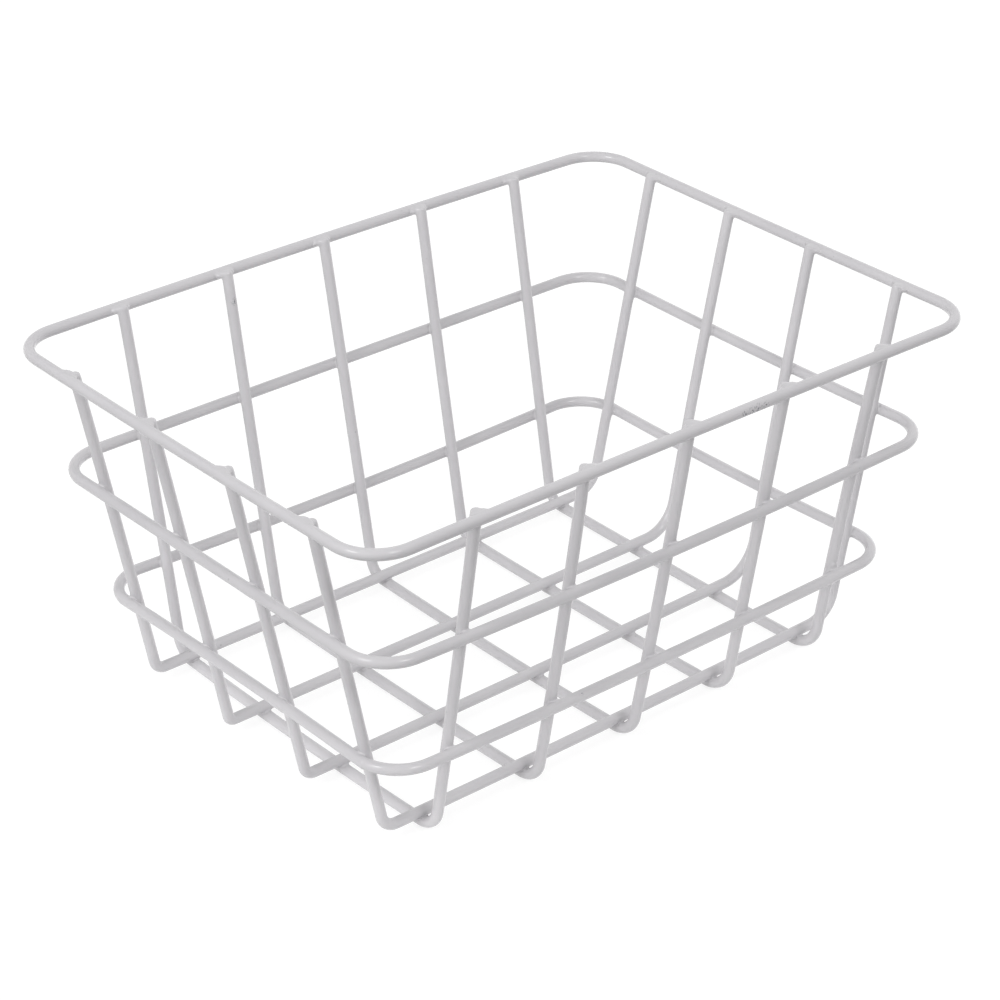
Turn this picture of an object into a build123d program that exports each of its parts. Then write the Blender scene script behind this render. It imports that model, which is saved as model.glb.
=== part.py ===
from build123d import *
import math
import os

# An open basket of welded round wire, as kept in a locker or on a shelf.
# X runs along the basket, Y from the front wall to the back wall and Z up.
# The origin lies on the surface it stands on, under the middle of the basket.
# Lengths are in millimetres and angles in degrees.

# Overall size, over the wires
overall_length = 305.0
overall_width = 229.0
overall_height = 150.0

# The wire, measured over its coat, and how deep two wires sink into each other at a weld
wire_diameter = 4.5
weld_depth = 0.7

# How far the walls lean outwards from upright
end_wall_lean = 11.5
side_wall_lean = 10.1

# Heights of the two lower rings above the floor, at the wires' centres
middle_ring_height = 95.9
lower_ring_height = 41.8

# Inside radii of the bends
ring_corner_radius = 16.0
front_bend_radius = 10.0
back_bend_radius = 7.0
left_bend_radius = 2.5
right_bend_radius = 11.0

# The wires that go down a wall, over the floor and up the other wall.
# The margins run along the floor, from the outermost wire to where the wall's centre line meets it.
cross_wire_count = 5
cross_wire_margin = 16.8
long_wire_count = 4
long_wire_margin = 9.1

# Where these wires end: above the rim's centre, with an edge that the coat rounds off
tip_rise = 1.0
tip_rounding = 0.9

# Worked out from the sizes above
wire_radius = wire_diameter / 2
weld_spacing = wire_diameter - weld_depth
rim_height = overall_height - wire_radius
rim_half_length = overall_length / 2 - wire_radius
rim_half_width = overall_width / 2 - wire_radius
cross_floor_height = wire_radius
long_floor_height = cross_floor_height + weld_spacing


# How far a wall has come in from the rim, at a height
def wall_inset(height, lean):
    return (rim_height - height) * math.tan(math.radians(lean))


# How far a wall's upright wires lie inside its rings, measured level
def upright_inset(lean):
    return weld_spacing / math.cos(math.radians(lean))


# Half the distance between the centre lines of two facing walls' upright wires, at a height
def upright_reach(rim_reach, height, lean):
    return rim_reach - wall_inset(height, lean) - upright_inset(lean)


# A round wire along a path
def wire_along(path):
    start = Plane(origin=path @ 0, z_dir=path % 0)
    return sweep(start * Circle(wire_radius), path=path)


# A closed ring that touches the outside of the upright wires at its height
def ring_wire(height):
    half_length = rim_half_length - wall_inset(height, end_wall_lean)
    half_width = rim_half_width - wall_inset(height, side_wall_lean)
    corners = [
        (0, -half_width, height),
        (half_length, -half_width, height),
        (half_length, half_width, height),
        (0, half_width, height),
    ]
    right_half = wire_along(FilletPolyline(*corners, radius=ring_corner_radius + wire_radius))
    return right_half + mirror(right_half, about=Plane.YZ)


# The four corners of a U wire in its own plane: distance from the middle, then height
def u_corners(rim_reach, floor_height, lean):
    tip_height = rim_height + tip_rise
    tip_reach = upright_reach(rim_reach, tip_height, lean)
    foot_reach = upright_reach(rim_reach, floor_height, lean)
    return [
        (-tip_reach, tip_height),
        (-foot_reach, floor_height),
        (foot_reach, floor_height),
        (tip_reach, tip_height),
    ]


# A wire from tip to tip through the given corners, with its two ends rounded off
def u_wire(corners, inside_radii):
    wire = wire_along(FilletPolyline(*corners, radius=[radius + wire_radius for radius in inside_radii]))
    tips = [face for face in wire.faces() if face.geom_type == GeomType.PLANE]
    return fillet([edge for tip in tips for edge in tip.edges()], radius=tip_rounding)


# A wire in a plane across the basket, at a place along it
def cross_wire(x):
    corners = [(x, y, z) for y, z in u_corners(rim_half_width, cross_floor_height, side_wall_lean)]
    return u_wire(corners, [front_bend_radius, back_bend_radius])


# A wire in a plane along the basket, at a place across it
def long_wire(y):
    corners = [(x, y, z) for x, z in u_corners(rim_half_length, long_floor_height, end_wall_lean)]
    return u_wire(corners, [left_bend_radius, right_bend_radius])


# Evenly spaced places on both sides of the middle
def spread(count, outermost):
    return [outermost * (2 * place / (count - 1) - 1) for place in range(count)]


# A wire with a seat pressed into it by each wire that it is welded to
def seated(wire, neighbours):
    for neighbour in neighbours:
        wire = wire - neighbour
    return wire


rings = {
    "rim_wire": ring_wire(rim_height),
    "middle_ring_wire": ring_wire(middle_ring_height),
    "lower_ring_wire": ring_wire(lower_ring_height),
}

outer_cross_place = upright_reach(rim_half_length, cross_floor_height, end_wall_lean) - cross_wire_margin
cross_wires = {
    f"cross_wire_{number}": seated(cross_wire(x), rings.values())
    for number, x in enumerate(spread(cross_wire_count, outer_cross_place), start=1)
}

outer_long_place = upright_reach(rim_half_width, cross_floor_height, side_wall_lean) - long_wire_margin
long_wires = {
    f"long_wire_{number}": seated(long_wire(y), [*rings.values(), *cross_wires.values()])
    for number, y in enumerate(spread(long_wire_count, outer_long_place), start=1)
}

os.makedirs("parts", exist_ok=True)
for name, solid in {**rings, **cross_wires, **long_wires}.items():
    solid.label = name
    export_step(solid, f"parts/{name}.step")
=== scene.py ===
import math

import bmesh
import bpy
from mathutils import Matrix, Vector


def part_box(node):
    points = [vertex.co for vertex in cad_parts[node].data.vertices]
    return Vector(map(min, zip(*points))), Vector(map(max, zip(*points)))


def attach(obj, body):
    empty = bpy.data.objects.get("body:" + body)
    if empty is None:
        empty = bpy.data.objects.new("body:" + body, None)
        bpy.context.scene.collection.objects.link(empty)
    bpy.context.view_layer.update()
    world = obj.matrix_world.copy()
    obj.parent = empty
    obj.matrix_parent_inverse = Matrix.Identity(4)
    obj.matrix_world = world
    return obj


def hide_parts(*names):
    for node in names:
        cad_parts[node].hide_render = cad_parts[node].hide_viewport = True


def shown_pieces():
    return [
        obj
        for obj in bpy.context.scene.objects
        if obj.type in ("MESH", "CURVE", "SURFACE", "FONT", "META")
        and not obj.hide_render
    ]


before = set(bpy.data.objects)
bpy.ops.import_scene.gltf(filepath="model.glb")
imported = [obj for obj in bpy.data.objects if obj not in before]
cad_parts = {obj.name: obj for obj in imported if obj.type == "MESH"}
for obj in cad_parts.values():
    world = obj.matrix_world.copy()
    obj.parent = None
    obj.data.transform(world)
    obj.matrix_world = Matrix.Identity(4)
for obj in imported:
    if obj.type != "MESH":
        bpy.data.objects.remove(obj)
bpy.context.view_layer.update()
print("frame loaded:", len(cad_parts), "wires")

# what every wire shares; lengths are in metres
wire = {
    "radius": 0.00225,
    "spacing": 0.0038,            # between the centres of two welded wires
    "sides": 32,
    "bendSteps": 14,
    "straightSteps": 12,
    "tipRounding": 0.0009,
    "tipSegments": 5,
    "tipLevel": 0.00001,          # how near to a tip's plane its open edge lies
    "mergeWithin": 0.00002,
    "smoothBelow": math.radians(50),
}

walls = {
    "endLean": math.radians(11.5),
    "sideLean": math.radians(10.1),
}


# puts every other piece out of reach of the next operator
def selectOnly(piece):
    bpy.ops.object.select_all(action="DESELECT")
    piece.select_set(True)
    bpy.context.view_layer.objects.active = piece


def startEditing(piece):
    selectOnly(piece)
    bpy.ops.object.mode_set(mode="EDIT")
    bpy.ops.mesh.select_all(action="SELECT")


def stopEditing():
    bpy.ops.mesh.select_all(action="DESELECT")
    bpy.ops.object.mode_set(mode="OBJECT")


def applyPlace(piece):
    selectOnly(piece)
    bpy.ops.object.transform_apply(location=True, rotation=True, scale=True)


def applyModifiers(piece):
    selectOnly(piece)
    for modifier in list(piece.modifiers):
        bpy.ops.object.modifier_apply(modifier=modifier.name)


# in edit mode, selects the vertices whose place passes the test
def selectWhere(piece, test):
    shape = bmesh.from_edit_mesh(piece.data)
    for vertex in shape.verts:
        vertex.select_set(test(vertex.co))
    shape.select_flush(True)
    bmesh.update_edit_mesh(piece.data)


def joinPieces(pieces, name):
    selectOnly(pieces[0])
    for piece in pieces[1:]:
        piece.select_set(True)
    bpy.ops.object.join()
    joined = bpy.context.object
    joined.name = name
    joined.data.name = name
    return joined


# "cross_wire_2" becomes "crossWire2"
def pieceName(node):
    first, *rest = node.split("_")
    return first + "".join(word.capitalize() for word in rest)


# a wire is a loop of vertices that is carried along its path
def startWire(name, place, direction, radius=wire["radius"]):
    turn = Vector(direction).to_track_quat("Z", "Y").to_euler()
    bpy.ops.object.select_all(action="DESELECT")
    bpy.ops.mesh.primitive_circle_add(
        vertices=wire["sides"], radius=radius, location=place, rotation=turn)
    piece = bpy.context.object
    piece.name = name
    piece.data.name = name
    applyPlace(piece)
    startEditing(piece)
    return piece


# a straight run, which may bow a little on its way
def runStraight(step, bow=Vector((0, 0, 0))):
    steps = wire["straightSteps"]
    last = Vector((0, 0, 0))
    for count in range(1, steps + 1):
        share = count / steps
        place = Vector(step) * share + Vector(bow) * 4 * share * (1 - share)
        bpy.ops.mesh.extrude_region_move(TRANSFORM_OT_translate={"value": tuple(place - last)})
        last = place


# a bend; spin counts a clockwise turn as positive
def runRound(centre, axis, angle):
    bpy.ops.mesh.spin(
        steps=wire["bendSteps"], angle=-angle, center=tuple(centre), axis=tuple(axis))


# closes an open end and rounds its edge off
def roundTip(piece, tip, direction):
    selectWhere(piece, lambda place: abs((place - tip).dot(direction)) < wire["tipLevel"]
                and (place - tip).length < 2 * wire["radius"])
    bpy.ops.mesh.edge_face_add()
    bpy.ops.mesh.bevel(
        offset=wire["tipRounding"], segments=wire["tipSegments"], affect="EDGES")


def finishWire(piece, node):
    bpy.ops.mesh.select_all(action="SELECT")
    bpy.ops.mesh.remove_doubles(threshold=wire["mergeWithin"])
    bpy.ops.mesh.normals_make_consistent(inside=False)
    stopEditing()
    bpy.ops.object.shade_smooth_by_angle(angle=wire["smoothBelow"])
    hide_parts(node)
    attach(piece, "root")


# the real basket isn't quite true, and these numbers follow the photograph, in millimetres:
# how far each corner of the mouth lies off in X and Y, how far each ring's corners lie up the wall,
# from the front left one round to the back left one, and how far each of its sides bows up
millimetre = 0.001
rings = {
    "cornerRadius": 0.01825,      # of the wire's centre line
    "mouthDrifts": [(-0.15, 0.95), (-1.15, 0.3), (0.15, -1.9), (1, 0.1)],
    "corners": {
        "rim_wire": (-0.8, -0.74, -0.98, -0.59),
        "middle_ring_wire": (-0.35, -0.05, -0.35, -0.65),
        "lower_ring_wire": (-0.4, 0.55, -0.1, -0.5),
    },
    "bows": {
        "rim_wire": {"front": 0.61, "right": -0.31, "back": 0.77, "left": -0.77},
        "middle_ring_wire": {"front": -2.05, "right": -0.75, "back": 0.15, "left": -0.1},
        "lower_ring_wire": {"front": -1.4, "right": -1.15, "back": -1.6, "left": 1.45},
    },
}

upwards = Vector((0, 0, 1))
outwards = {
    "front": Vector((0, -1, 0)), "right": Vector((1, 0, 0)),
    "back": Vector((0, 1, 0)), "left": Vector((-1, 0, 0)),
}
sideLeans = {
    "front": walls["sideLean"], "right": walls["endLean"],
    "back": walls["sideLean"], "left": walls["endLean"],
}
ringSides = {}                    # where each side runs: start, whole step and bow
rimLow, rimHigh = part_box("rim_wire")
rimHeight = (rimLow.z + rimHigh.z) / 2
rimReach = {"X": rimHigh.x - wire["radius"], "Y": rimHigh.y - wire["radius"]}


# a step up a leaning wall, or up two of them at a corner
def upTheWall(rise, *sides):
    outward = sum((outwards[side] * math.tan(sideLeans[side]) for side in sides), upwards)
    return rise * millimetre * outward


# how far a ring's four corners lie off their places; the mouth's drifts fade out towards the floor
def cornerShifts(node, height):
    sides = list(outwards)
    corners = zip(rings["corners"][node], sides, sides[-1:] + sides[:-1], rings["mouthDrifts"])
    return [
        upTheWall(rise, side, before) + Vector((*drift, 0)) * millimetre * height / rimHeight
        for rise, side, before, drift in corners
    ]


def makeRing(node):
    low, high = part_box(node)
    height = (low.z + high.z) / 2
    bend = rings["cornerRadius"]
    reachX, reachY = high.x - wire["radius"], high.y - wire["radius"]
    corners = cornerShifts(node, height)
    start = Vector((bend - reachX, -reachY, height)) + corners[0]
    piece = startWire(pieceName(node), start, (1, 0, 0))
    for side, corner, nextCorner in zip(outwards, corners, corners[1:] + corners[:1]):
        outward = outwards[side]
        along = upwards.cross(outward)
        length = 2 * ((reachX if along.x else reachY) - bend)
        step = along * length + nextCorner - corner
        bow = upTheWall(rings["bows"][node][side], side)
        ringSides[node, side] = (start, step, bow)
        runStraight(step, bow)
        end = start + step
        runRound(end - outward * bend, upwards, math.pi / 2)
        start = end - outward * bend + along * bend
    finishWire(piece, node)


# half the distance between two facing walls' uprights, at a height
def uprightReach(reach, height, lean):
    return reach - (rimHeight - height) * math.tan(lean) - wire["spacing"] / math.cos(lean)


# no two of these wires came out quite the same: "bends" holds the radii of a wire's two bends, of
# the centre line, in metres. The rest is in millimetres: how far the wire lies aside of its place
# from end to end (tip, bow, foot, the floor run's bow, foot, bow, tip), how far out its two feet
# are and how far above the rim's centre its two tips end
crossWires = {
    "nodes": [f"cross_wire_{number}" for number in range(1, 6)],
    "way": Vector((0, 1, 0)),
    "aside": Vector((1, 0, 0)),
    "walls": ("front", "back"),
    "lean": walls["sideLean"],
    "reach": rimReach["Y"],
    "bends": [
        (0.0111, 0.0092), (0.0113, 0.0085), (0.0121, 0.0075), (0.0137, 0.0092), (0.0133, 0.008),
    ],
    "shifts": [
        (0.35, 0.45, -0.1, -1.15, 0.8, 0.3, 0.05),
        (0.65, 0.85, -0.15, -0.8, 0.15, -0.15, 0.15),
        (1.7, 0.85, -0.95, -0.95, 0.35, 0.05, -1.45),
        (0.35, 0.1, -0.7, -0.85, -0.25, -0.25, -0.95),
        (0.6, -0.55, -1.1, -0.55, -0.05, 0, -0.7),
    ],
    "feet": [(0.05, -0.25), (0.1, -0.3), (-0.25, 0.05), (-0.3, -0.15), (-0.7, -0.15)],
    "rises": [(0.6, 1), (0.2, 1), (0.8, 1), (0.2, 1), (0.3, 1)],
}

longWires = {
    "nodes": [f"long_wire_{number}" for number in range(1, 5)],
    "way": Vector((1, 0, 0)),
    "aside": Vector((0, 1, 0)),
    "walls": ("left", "right"),
    "lean": walls["endLean"],
    "reach": rimReach["X"],
    "bends": [(0.0072, 0.0132), (0.0047, 0.0178), (0.003, 0.0162), (0.005, 0.0132)],
    "shifts": [
        (-0.7, 0.3, -0.55, -0.75, 1.6, 0.1, -0.7),
        (-0.2, 0.05, -2.15, -0.75, -0.05, 0.45, -0.3),
        (-0.85, -0.45, -0.95, -0.1, 0.35, 0.6, -1.5),
        (0.75, -0.55, 0.25, -0.1, 0.55, -0.1, -1.75),
    ],
    "feet": [(0.1, -0.3), (0.55, -0.05), (0.2, -0.2), (-0.15, -0.45)],
    "rises": [(-0.6, 1), (0.3, 1), (0.5, 1), (-0.4, 1)],
}
uprights = {}                     # each upright's foot, the step up to its tip and its bow
floorRuns = {}                    # each floor run's start, step and bow
tipRises = {}                     # how far above the rim's centre each upright ends


# how far out the mouth's drift takes a tip on a side
def tipDrift(side, place):
    outward = outwards[side]
    along = upwards.cross(outward)
    reach = (rimReach["X"] if along.x else rimReach["Y"]) - rings["cornerRadius"]
    share = (place.dot(along) + reach) / (2 * reach)
    number = list(outwards).index(side)
    drifts = [Vector((*drift, 0)) * millimetre for drift in rings["mouthDrifts"]]
    drift = drifts[number].lerp(drifts[(number + 1) % len(drifts)], share)
    return outward * drift.dot(outward)


# down one wall, over the floor and up the other wall
def makeU(node, kind, bends, shifts, feet, rises):
    low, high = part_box(node)
    way, aside, lean = kind["way"], kind["aside"], kind["lean"]
    firstSide, secondSide = kind["walls"]
    middle = (low + high) / 2
    middle -= way * middle.dot(way)
    middle.z = low.z + wire["radius"]
    footReach = uprightReach(kind["reach"], middle.z, lean)
    outward = way * math.sin(lean)
    down = outward - upwards * math.cos(lean)
    up = outward + upwards * math.cos(lean)
    axis = way.cross(upwards)
    turn = math.pi / 2 - lean
    firstBend, secondBend = bends
    firstCut = firstBend * math.tan(turn / 2)     # what a bend takes off the two runs it joins
    secondCut = secondBend * math.tan(turn / 2)
    inward = way * math.cos(lean) + upwards * math.sin(lean)
    firstTip, firstBow, firstFoot, floorBow, secondFoot, secondBow, secondTip = (
        aside * shift * millimetre for shift in shifts)
    firstFoot -= way * feet[0] * millimetre
    secondFoot += way * feet[1] * millimetre
    firstLength, secondLength = (
        (rimHeight + rise * millimetre - middle.z) / math.cos(lean) for rise in rises)
    firstDrift, secondDrift = (tipDrift(side, middle) for side in kind["walls"])
    tipStart = middle - way * footReach - down * firstLength + firstTip + firstDrift
    bendStart = middle - way * footReach - down * firstCut + firstFoot
    floorStart = middle - way * (footReach - firstCut) + firstFoot
    floorEnd = middle + way * (footReach - secondCut) + secondFoot
    bendEnd = middle + way * footReach + up * secondCut + secondFoot
    tipEnd = middle + way * footReach + up * secondLength + secondTip + secondDrift
    piece = startWire(pieceName(node), tipStart, down)
    runStraight(bendStart - tipStart, firstBow)
    runRound(bendStart + inward * firstBend, axis, turn)
    runStraight(floorEnd - floorStart, floorBow)
    runRound(floorEnd + upwards * secondBend, axis, turn)
    runStraight(tipEnd - bendEnd, secondBow)
    roundTip(piece, tipStart, down)
    roundTip(piece, tipEnd, up)
    uprights[node, firstSide] = (bendStart, tipStart - bendStart, firstBow)
    uprights[node, secondSide] = (bendEnd, tipEnd - bendEnd, secondBow)
    floorRuns[node] = (floorStart, floorEnd - floorStart, floorBow)
    tipRises[node, firstSide], tipRises[node, secondSide] = rises
    finishWire(piece, node)


# the place on a bowed run, and its direction there
def alongRun(run, share):
    start, step, bow = run
    return start + step * share + bow * 4 * share * (1 - share), step + bow * 4 * (1 - 2 * share)


# how far along a run a place lies
def shareOf(run, place):
    start, step, bow = run
    return (place - start).dot(step) / step.dot(step)


for node in rings["bows"]:
    makeRing(node)
for kind in (crossWires, longWires):
    columns = (kind[name] for name in ("nodes", "bends", "shifts", "feet", "rises"))
    for node, *settings in zip(*columns):
        makeU(node, kind, *settings)
print("wires made")

# the coat fills the corners at every weld, and fuller at the rim, where the uprights end
welds = {
    "armRadius": 0.0023,          # melting takes this back to just under the wire's surface
    "bendArmRadius": 0.00226,
    "armLength": 0.005,           # to each side of the crossing
    "voxel": 0.0003,
    "melting": 45,                # steps of smoothing, which turn the corners into hollows
    "bendMeltings": (12, 12, 12, 12, 26),     # each cross wire's bends kept a crevice beside them
    "tipReach": 0.0004,           # of the upright's arm past the upright's tip
    "fillSize": (0.0044, 0.0016, 0.002),
    "fillSegments": 48,
    "fillRings": 24,
    "fills": {                    # how high the fill's middle is, and how far inside the weld's
        "front": (0.0001, 0.0006), "right": (0.0001, 0.0006),
        "back": (0.0001, 0.0006), "left": (0.0004, 0),
    },
    "approaches": 3,              # steps to the place where two bowed wires are nearest
    "smoothBelow": math.radians(60),
}


# a short closed length of wire, with a bend at its end where one is given
def makeArm(start, end, radius=welds["armRadius"], bend=0, bendAngle=0):
    direction = end - start
    arm = startWire("weldArm", start, direction, radius)
    bpy.ops.mesh.edge_face_add()
    bpy.ops.mesh.extrude_region_move(TRANSFORM_OT_translate={"value": tuple(direction)})
    if bend:
        runRound(end + upwards * bend, (1, 0, 0), bendAngle)
    bpy.ops.mesh.select_all(action="SELECT")
    bpy.ops.mesh.normals_make_consistent(inside=False)
    stopEditing()
    return arm


# fuses the arms into one skin and melts its corners
def meltTogether(arms, name, steps=welds["melting"]):
    weld = joinPieces(arms, name)
    skin = weld.modifiers.new("oneSkin", "REMESH")
    skin.mode = "VOXEL"
    skin.voxel_size = welds["voxel"]
    melting = weld.modifiers.new("melting", "SMOOTH")
    melting.factor = 0.5
    melting.iterations = steps
    applyModifiers(weld)
    return weld


# in a weld's own directions X runs along the outer wire, Y along the inner one and Z outwards
armX = Vector((welds["armLength"], 0, 0))
armY = Vector((0, welds["armLength"], 0))
outerWire = upwards * wire["spacing"] / 2
innerWire = -outerWire


def makeCrossingWeld():
    return meltTogether([
        makeArm(outerWire - armX, outerWire + armX),
        makeArm(innerWire - armY, innerWire + armY),
    ], "crossingWeld")


def makeTipWeld(tipRise, fillHeight, fillDepth):
    bpy.ops.object.select_all(action="DESELECT")
    bpy.ops.mesh.primitive_uv_sphere_add(
        segments=welds["fillSegments"], ring_count=welds["fillRings"], radius=1,
        location=(0, fillHeight, -fillDepth), scale=welds["fillSize"])
    fill = bpy.context.object
    tip = innerWire + Vector((0, tipRise * millimetre + welds["tipReach"], 0))
    return meltTogether([
        makeArm(outerWire - armX, outerWire + armX),
        makeArm(innerWire - armY, tip),
        fill,
    ], "tipWeld")


# beside a floor bend, the lower wire's arm follows the bend
def makeBendWeld(straight, bend, melting):
    angle = (welds["armLength"] - straight) / bend
    radius = welds["bendArmRadius"]
    return meltTogether([
        makeArm(outerWire - armX, outerWire + armX, radius),
        makeArm(innerWire - armY, innerWire + Vector((0, straight, 0)), radius, bend, angle),
    ], "bendWeld", melting)


# the two wires needn't cross at a right angle, so a copy may be a little askew
def copyWeld(weld, place, outer, inner):
    outward = outer.cross(inner)
    selectOnly(weld)
    bpy.ops.object.duplicate()
    copy = bpy.context.object
    directions = [direction.normalized() for direction in (outer, inner, outward)]
    copy.data.transform(Matrix.Translation(place) @ Matrix(directions).transposed().to_4x4())
    return copy


def finishWelds(copies, name):
    piece = joinPieces(copies, name)
    bpy.ops.object.shade_smooth_by_angle(angle=welds["smoothBelow"])
    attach(piece, "root")


def deletePiece(piece):
    selectOnly(piece)
    bpy.ops.object.delete()


# one weld where each upright crosses a ring; weldOf says which, for a wire and a side
def weldRing(ring, weldOf, name):
    copies = []
    for kind in (crossWires, longWires):
        for node in kind["nodes"]:
            for side in kind["walls"]:
                upright, ringSide = uprights[node, side], ringSides[ring, side]
                onRing = ringSide[0]
                for _ in range(welds["approaches"]):
                    share = (onRing.z - upright[0].z) / upright[1].z
                    onUpright, up = alongRun(upright, share)
                    onRing, along = alongRun(ringSide, shareOf(ringSide, onUpright))
                onUpright, up = alongRun(upright, shareOf(upright, onRing))
                if along.cross(up).dot(outwards[side]) < 0:
                    along = -along
                place = (onRing + onUpright) / 2
                copies.append(copyWeld(weldOf(node, side), place, along, up))
    finishWelds(copies, name)


# one weld where each long wire lies on a cross wire; beside a bend it has that bend's shape
def weldFloor(crossing, name):
    copies = []
    lowers = list(zip(crossWires["nodes"], crossWires["bends"], welds["bendMeltings"]))
    for upper in longWires["nodes"]:
        for lower, bends, melting in lowers:
            upperRun, lowerRun = floorRuns[upper], floorRuns[lower]
            onUpper = upperRun[0]
            for _ in range(welds["approaches"]):
                onLower, inner = alongRun(lowerRun, shareOf(lowerRun, onUpper))
                onUpper, outer = alongRun(upperRun, shareOf(upperRun, onLower))
            rooms = (onUpper.y - lowerRun[0].y, lowerRun[0].y + lowerRun[1].y - onUpper.y)
            room = min(rooms)
            turned = -1 if room == rooms[0] else 1
            outer, inner = outer * turned, inner * turned
            place = (onLower + onUpper) / 2
            if room < welds["armLength"]:
                beside = makeBendWeld(room, bends[rooms.index(room)], melting)
                copies.append(copyWeld(beside, place, outer, inner))
                deletePiece(beside)
            else:
                copies.append(copyWeld(crossing, place, outer, inner))
    finishWelds(copies, name)


# what sets one kind of tip weld apart from another
def tipRecipe(node, side):
    return (tipRises[node, side], *welds["fills"][side])


crossingWeld = makeCrossingWeld()
tipWelds = {}                     # one for each kind of tip
for node, side in tipRises:
    recipe = tipRecipe(node, side)
    if recipe not in tipWelds:
        tipWelds[recipe] = makeTipWeld(*recipe)
weldRing("rim_wire", lambda node, side: tipWelds[tipRecipe(node, side)], "rimWelds")
weldRing("middle_ring_wire", lambda node, side: crossingWeld, "middleRingWelds")
weldRing("lower_ring_wire", lambda node, side: crossingWeld, "lowerRingWelds")
weldFloor(crossingWeld, "floorWelds")
for pattern in (crossingWeld, *tipWelds.values()):
    deletePiece(pattern)
print("welds made")


# the coat: a satin grey baked on the wire; sizes of a texture are per metre
coat = {
    "colour": (0.548, 0.537, 0.553, 1),
    "patchColour": (0.526, 0.515, 0.533, 1),     # where it came out a little thicker
    "patches": {"scale": 38, "detail": 2, "span": (0.4, 0.65)},
    "speckColour": (0.43, 0.42, 0.435, 1),
    "speckScale": 210,
    "speckReach": (0.066, 0.11),
    "speckGroups": {"scale": 24, "detail": 1, "span": (0.6, 0.66)},
    # painted shade: the colour that the coat darkens towards in tight creases, where shade falls
    "paintedCreaseShade": (0.2, 0.193, 0.2, 1),
    "paintedShadeReach": 0.006,         # how far off a wall of a crease may be, for the painted shade
    "paintedShadeOpenings": (0.76, 0.44),      # how open a place is where the painted shade starts to darken it, and ends
    "scuffs": [                   # where the coat is scuffed through, and how far round
        ((0.0235, -0.1138, 0.1472), 0.002), ((0.0272, -0.1139, 0.1474), 0.0022),
        ((0.0308, -0.1139, 0.1475), 0.0024), ((0.0344, -0.1139, 0.1474), 0.002),
        ((-0.0493, 0.1045, 0.1375), 0.0022), ((-0.0382, -0.0945, 0.0429), 0.0013),
    ],
    "scuffCore": 0.5,             # the share of that reach that is scuffed in full
    "scuffColour": (0.2, 0.2, 0.22, 1),
    "scuffGrain": {"scale": 1500, "detail": 2, "span": (0.52, 0.6)},
    "gloss": {"scale": 120, "detail": 2, "span": (0.3, 0.7)},
    "roughness": (0.12, 0.19),
    "refraction": 1.5,
    "waves": {"scale": 95, "detail": 1, "strength": 0.12, "depth": 0.0004},
    "peel": {"scale": 620, "detail": 3, "strength": 0.35, "depth": 0.00004},     # orange peel
}


# maps a value from one span of numbers to another
def mapSpan(tree, value, fromRange, toRange):
    mapped = tree.nodes.new("ShaderNodeMapRange")
    names = ("From Min", "From Max", "To Min", "To Max")
    for name, number in zip(names, (*fromRange, *toRange)):
        mapped.inputs[name].default_value = number
    tree.links.new(value, mapped.inputs["Value"])
    return mapped.outputs["Result"]


def combine(tree, operation, first, second):
    result = tree.nodes.new("ShaderNodeMath")
    result.operation = operation
    tree.links.new(first, result.inputs[0])
    tree.links.new(second, result.inputs[1])
    return result.outputs["Value"]


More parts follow.
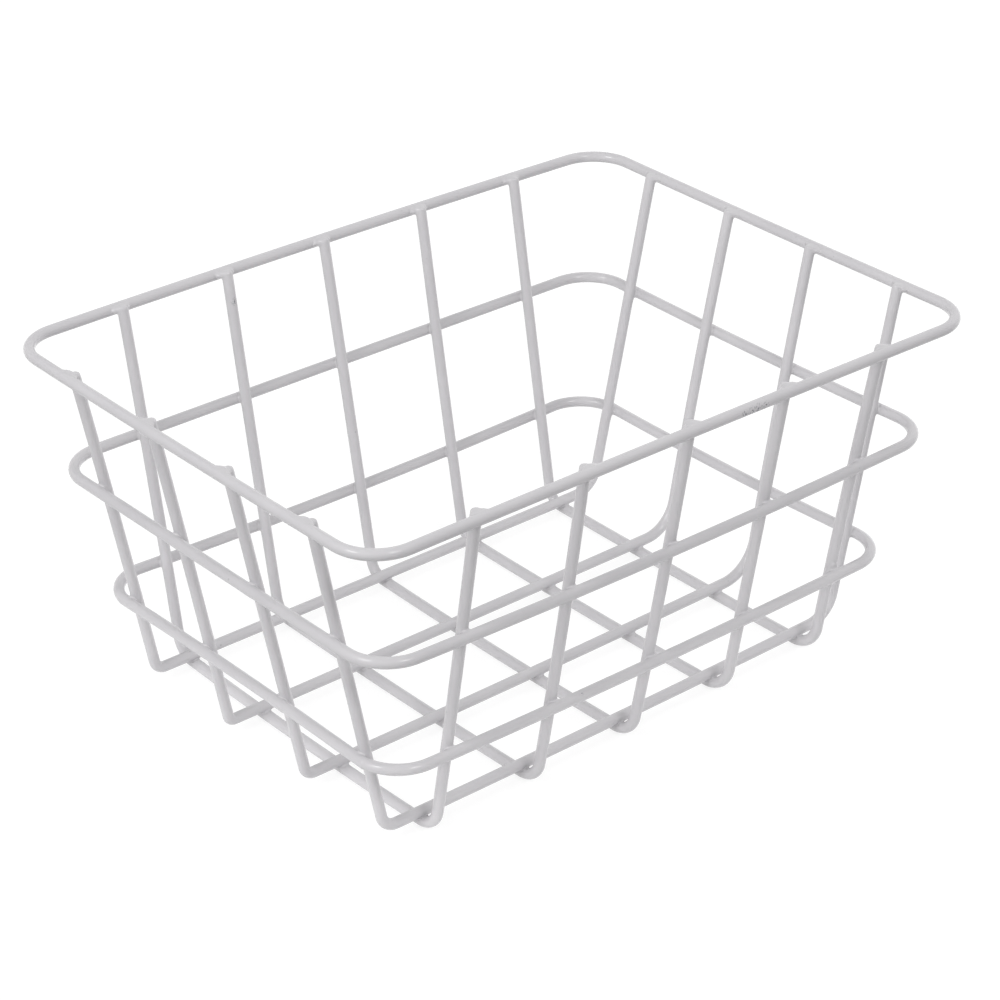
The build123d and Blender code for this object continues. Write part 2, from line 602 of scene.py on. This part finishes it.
def makeCoat():
    material = bpy.data.materials.new("coatedWire")
    material.use_nodes = True
    tree = material.node_tree
    nodes, links = tree.nodes, tree.links
    shader = nodes["Principled BSDF"]
    shader.inputs["IOR"].default_value = coat["refraction"]
    place = nodes.new("ShaderNodeTexCoord").outputs["Object"]

    def noise(settings):
        texture = nodes.new("ShaderNodeTexNoise")
        texture.inputs["Scale"].default_value = settings["scale"]
        texture.inputs["Detail"].default_value = settings["detail"]
        links.new(place, texture.inputs["Vector"])
        return texture.outputs["Fac"]

    def grain(settings, toRange=(0, 1)):
        return mapSpan(tree, noise(settings), settings["span"], toRange)

    def nearness(spot, reach):
        distance = nodes.new("ShaderNodeVectorMath")
        distance.operation = "DISTANCE"
        distance.inputs[1].default_value = spot
        links.new(place, distance.inputs[0])
        fromRange = (reach * coat["scuffCore"], reach)
        return mapSpan(tree, distance.outputs["Value"], fromRange, (1, 0))

    def blend(share, under, over):
        mixed = nodes.new("ShaderNodeMix")
        mixed.data_type = "RGBA"
        links.new(share, mixed.inputs["Factor"])
        for name, colour in (("A", under), ("B", over)):
            socket = next(one for one in mixed.inputs if one.name == name and one.type == "RGBA")
            if isinstance(colour, tuple):
                socket.default_value = colour
            else:
                links.new(colour, socket)
        return next(one for one in mixed.outputs if one.type == "RGBA")

    def bump(settings):
        relief = nodes.new("ShaderNodeBump")
        relief.inputs["Strength"].default_value = settings["strength"]
        relief.inputs["Distance"].default_value = settings["depth"]
        links.new(noise(settings), relief.inputs["Height"])
        return relief

    tone = blend(grain(coat["patches"]), coat["colour"], coat["patchColour"])

    cells = nodes.new("ShaderNodeTexVoronoi")
    cells.inputs["Scale"].default_value = coat["speckScale"]
    links.new(place, cells.inputs["Vector"])
    dots = mapSpan(tree, cells.outputs["Distance"], coat["speckReach"], (1, 0))
    specks = combine(tree, "MULTIPLY", dots, grain(coat["speckGroups"]))
    speckled = blend(specks, tone, coat["speckColour"])

    # painted shade: ambient occlusion darkens the coat's colour in the crevices at the welds, where
    # shade falls
    creaseOcclusion = nodes.new("ShaderNodeAmbientOcclusion")
    creaseOcclusion.inputs["Distance"].default_value = coat["paintedShadeReach"]
    creaseOcclusion.only_local = True
    paintedShadeShare = mapSpan(tree, creaseOcclusion.outputs["AO"], coat["paintedShadeOpenings"], (0, 1))
    withPaintedShade = blend(paintedShadeShare, speckled, coat["paintedCreaseShade"])

    nearest, *others = (nearness(*scuff) for scuff in coat["scuffs"])
    for other in others:
        nearest = combine(tree, "MAXIMUM", nearest, other)
    scuffed = combine(tree, "MULTIPLY", nearest, grain(coat["scuffGrain"]))
    links.new(blend(scuffed, withPaintedShade, coat["scuffColour"]), shader.inputs["Base Color"])

    links.new(grain(coat["gloss"], coat["roughness"]), shader.inputs["Roughness"])

    waves, peel = bump(coat["waves"]), bump(coat["peel"])
    links.new(waves.outputs["Normal"], peel.inputs["Normal"])
    links.new(peel.outputs["Normal"], shader.inputs["Normal"])
    return material


coatMaterial = makeCoat()
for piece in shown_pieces():
    piece.data.materials.clear()
    piece.data.materials.append(coatMaterial)
print("coat applied")


# the studio: a white table in a pale room, a low lamp on each side, two soft boxes and the camera
studio = {
    "floorSize": 8,
    "tableLit": 0.86,             # how much light the white table round the basket throws back
    "tableReach": (0.2, 0.35),    # from the middle, where it starts and stops fading into the room
    "roomLit": 0.05,
    "floorSeen": 0.22,            # the floor's colour to the camera, which keeps the shadow faint
    "floorGlow": (0.82, 1),       # and its own glow, near and far
    "glowReach": (0.4, 1.4),
    "surround": (1.02, 0.42),     # level with the table and overhead
    "white": (1, 1, 1, 1),
    "lamps": [                    # the coat's highlights are the soft boxes' alone
        {"name": "leftLamp", "place": (-2.14, -0.19, 0.46),
         "size": 1.4, "power": 13.5, "mirrored": False},
        {"name": "rightLamp", "place": (2.07, 0, 0.75),
         "size": 1.4, "power": 20, "mirrored": False},
        {"name": "leftSoftBox", "place": (-1.69, 0, 1.41),
         "size": 0.7, "power": 12.6, "mirrored": True},
        {"name": "frontSoftBox", "place": (-0.14, -1.58, 1.53),
         "size": 0.5, "power": 8.8, "mirrored": True},
    ],
    "cameraPlace": (-0.72919, -0.87076, 0.69475),
    "cameraTurn": (61.28175, 0.23912, -40.12761),
    "lens": 117.3299,
    "sensorWidth": 36,
    "clipStart": 0.01,
}


# one strength for what the camera or a reflection sees, and another for the light that it gives
def seenStrength(tree, seen, lit):
    path = tree.nodes.new("ShaderNodeLightPath")
    total = path.outputs["Is Camera Ray"]
    for name in ("Is Glossy Ray", "Is Transmission Ray"):
        total = combine(tree, "MAXIMUM", total, path.outputs[name])
    strength = tree.nodes.new("ShaderNodeMapRange")
    for name, value in (("To Min", lit), ("To Max", seen)):
        if isinstance(value, (int, float)):
            strength.inputs[name].default_value = value
        else:
            tree.links.new(value, strength.inputs[name])
    tree.links.new(total, strength.inputs["Value"])
    return strength.outputs["Result"]


def makeFloor():
    bpy.ops.object.select_all(action="DESELECT")
    bpy.ops.mesh.primitive_plane_add(size=studio["floorSize"], location=(0, 0, 0))
    floor = bpy.context.object
    floor.name = "studioFloor"
    material = bpy.data.materials.new("paleFloor")
    material.use_nodes = True
    tree = material.node_tree
    shader = tree.nodes["Principled BSDF"]
    shade = tree.nodes.new("ShaderNodeCombineColor")
    place = tree.nodes.new("ShaderNodeTexCoord")
    distance = tree.nodes.new("ShaderNodeVectorMath")
    distance.operation = "LENGTH"
    tree.links.new(place.outputs["Object"], distance.inputs[0])
    away = distance.outputs["Value"]
    lit = mapSpan(tree, away, studio["tableReach"], (studio["tableLit"], studio["roomLit"]))
    floorShade = seenStrength(tree, studio["floorSeen"], lit)
    for channel in ("Red", "Green", "Blue"):
        tree.links.new(floorShade, shade.inputs[channel])
    tree.links.new(shade.outputs["Color"], shader.inputs["Base Color"])
    shader.inputs["Roughness"].default_value = 1
    shader.inputs["Specular IOR Level"].default_value = 0
    shader.inputs["Emission Color"].default_value = studio["white"]
    glow = mapSpan(tree, away, studio["glowReach"], studio["floorGlow"])
    tree.links.new(seenStrength(tree, glow, 0), shader.inputs["Emission Strength"])
    floor.data.materials.append(material)


def makeLight():
    world = bpy.data.worlds.new("studioSurround")
    bpy.context.scene.world = world
    world.use_nodes = True
    tree = world.node_tree
    background = tree.nodes["Background"]
    background.inputs["Color"].default_value = studio["white"]
    way = tree.nodes.new("ShaderNodeTexCoord")
    height = tree.nodes.new("ShaderNodeSeparateXYZ")
    tree.links.new(way.outputs["Generated"], height.inputs["Vector"])
    lit = mapSpan(tree, height.outputs["Z"], (0, 1), studio["surround"])
    tree.links.new(seenStrength(tree, 1, lit), background.inputs["Strength"])
    for settings in studio["lamps"]:
        bpy.ops.object.light_add(type="AREA", location=settings["place"])
        lamp = bpy.context.object
        lamp.name = settings["name"]
        lamp.data.size = settings["size"]
        lamp.data.energy = settings["power"]
        lamp.visible_glossy = settings["mirrored"]
        lamp.rotation_euler = (-Vector(settings["place"])).to_track_quat("-Z", "Y").to_euler()


def makeCamera():
    bpy.ops.object.camera_add(
        location=studio["cameraPlace"],
        rotation=[math.radians(angle) for angle in studio["cameraTurn"]])
    camera = bpy.context.object
    camera.data.lens = studio["lens"]
    camera.data.sensor_width = studio["sensorWidth"]
    camera.data.clip_start = studio["clipStart"]
    bpy.context.scene.camera = camera


makeFloor()
makeLight()
makeCamera()
bpy.context.scene.view_settings.view_transform = "Standard"
print("studio ready")

bpy.context.view_layer.update()
